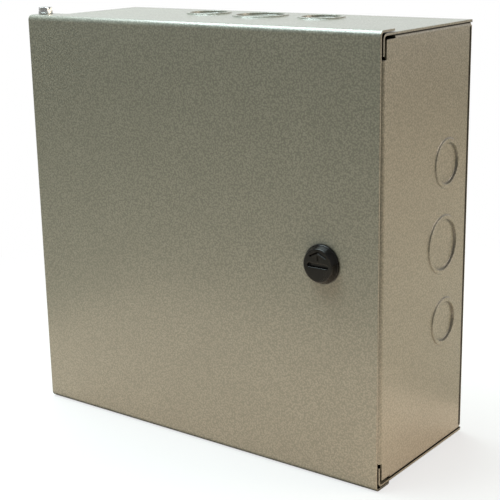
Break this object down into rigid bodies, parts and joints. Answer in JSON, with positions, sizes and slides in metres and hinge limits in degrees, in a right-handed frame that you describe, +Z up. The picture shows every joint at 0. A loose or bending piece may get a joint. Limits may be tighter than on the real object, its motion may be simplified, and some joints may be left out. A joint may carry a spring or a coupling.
{
  "type": "electrical enclosure",
  "caption": "Square wall enclosure of folded sheet steel with raised knockouts, a side-hinged lapped door, a coin-slot quarter-turn latch and an inner mounting panel.",
  "frame": {"origin": "centre of the back wall face, which is the centre of the four wall holes", "axes": "+X right seen from the front, +Y into the wall, +Z up"},
  "size_m": [0.307, 0.1292, 0.3098],
  "materials": {
    "hammered_paint": "grey hammered enamel",
    "black_plastic": "moulded black",
    "zinc_steel": "zinc plated",
    "white_plastic": "natural",
    "galvanised_steel": "galvanised sheet",
    "copper_plate": "copper plated steel"
  },
  "bodies": {
    "enclosure": {"enclosure_body": "hammered_paint", "mounting_panel": "galvanised_steel", "panel_studs": "zinc_steel", "panel_washers": "zinc_steel", "panel_nuts": "zinc_steel", "ground_stud": "copper_plate", "ground_washer": "zinc_steel", "ground_nut": "copper_plate", "upper_pivot_screw": "zinc_steel", "upper_pivot_washer": "zinc_steel", "upper_pivot_spacer": "white_plastic", "upper_pivot_nut": "zinc_steel", "lower_pivot_pin": "zinc_steel"},
    "door": {"door_panel": "hammered_paint", "lower_pivot_spacer": "white_plastic", "latch_bezel": "black_plastic", "latch_lock_washer": "zinc_steel", "latch_nut": "zinc_steel"},
    "latch": {"latch_knob": "black_plastic", "latch_cam": "zinc_steel", "latch_cam_washer": "zinc_steel", "latch_cam_screw": "zinc_steel"}
  },
  "joints": [
    {"name": "door_swing", "type": "hinge", "parent": "enclosure", "child": "door", "pos_m": [-0.1469, -0.1105, 0], "axis": [0, 0, -1], "range_deg": [0, 120]},
    {"name": "latch_turn", "type": "hinge", "parent": "door", "child": "latch", "pos_m": [0.1099, -0.1235, 0], "axis": [0, 1, 0], "range_deg": [0, 90]}
  ]
}
